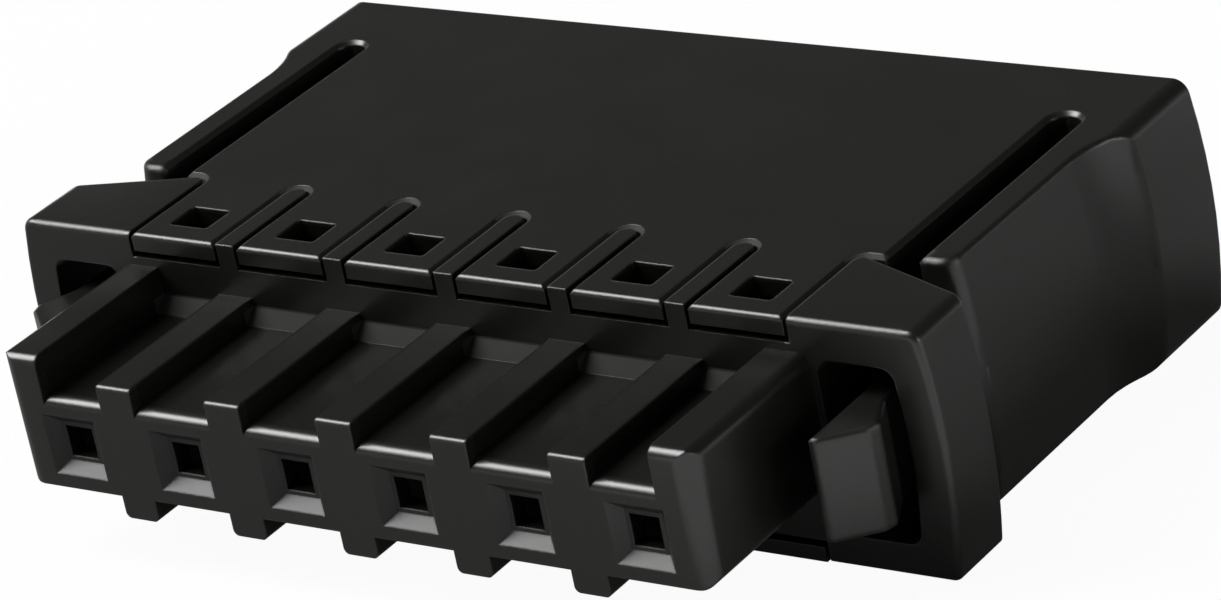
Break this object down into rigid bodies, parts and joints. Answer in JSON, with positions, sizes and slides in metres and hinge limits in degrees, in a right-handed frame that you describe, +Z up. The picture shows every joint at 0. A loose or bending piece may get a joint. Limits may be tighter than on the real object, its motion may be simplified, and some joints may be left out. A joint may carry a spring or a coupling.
{
  "type": "pluggable wire connector",
  "caption": "Black six-pole pluggable wire connector with push-in clamps, ribbed nose with square pin funnels, side latch arms and flange loops.",
  "frame": {"origin": "on the bottom plane, in the middle of the length and the width", "axes": "+X along the row of poles, +Y from the mating face to the wire side, +Z up to the face with the test openings"},
  "size_m": [0.0202, 0.0138, 0.0048],
  "materials": {
    "housing": "satin black moulded polyamide with a fine even grain",
    "contacts": "tin-plated copper alloy sheet",
    "springs": "stainless spring strip"
  },
  "bodies": {
    "root": {"hood": "housing", "contact_carrier": "housing", "contact_1": "contacts", "contact_2": "contacts", "contact_3": "contacts", "contact_4": "contacts", "contact_5": "contacts", "contact_6": "contacts", "clamp_spring_1": "springs", "clamp_spring_2": "springs", "clamp_spring_3": "springs", "clamp_spring_4": "springs", "clamp_spring_5": "springs", "clamp_spring_6": "springs"}
  },
  "joints": []
}
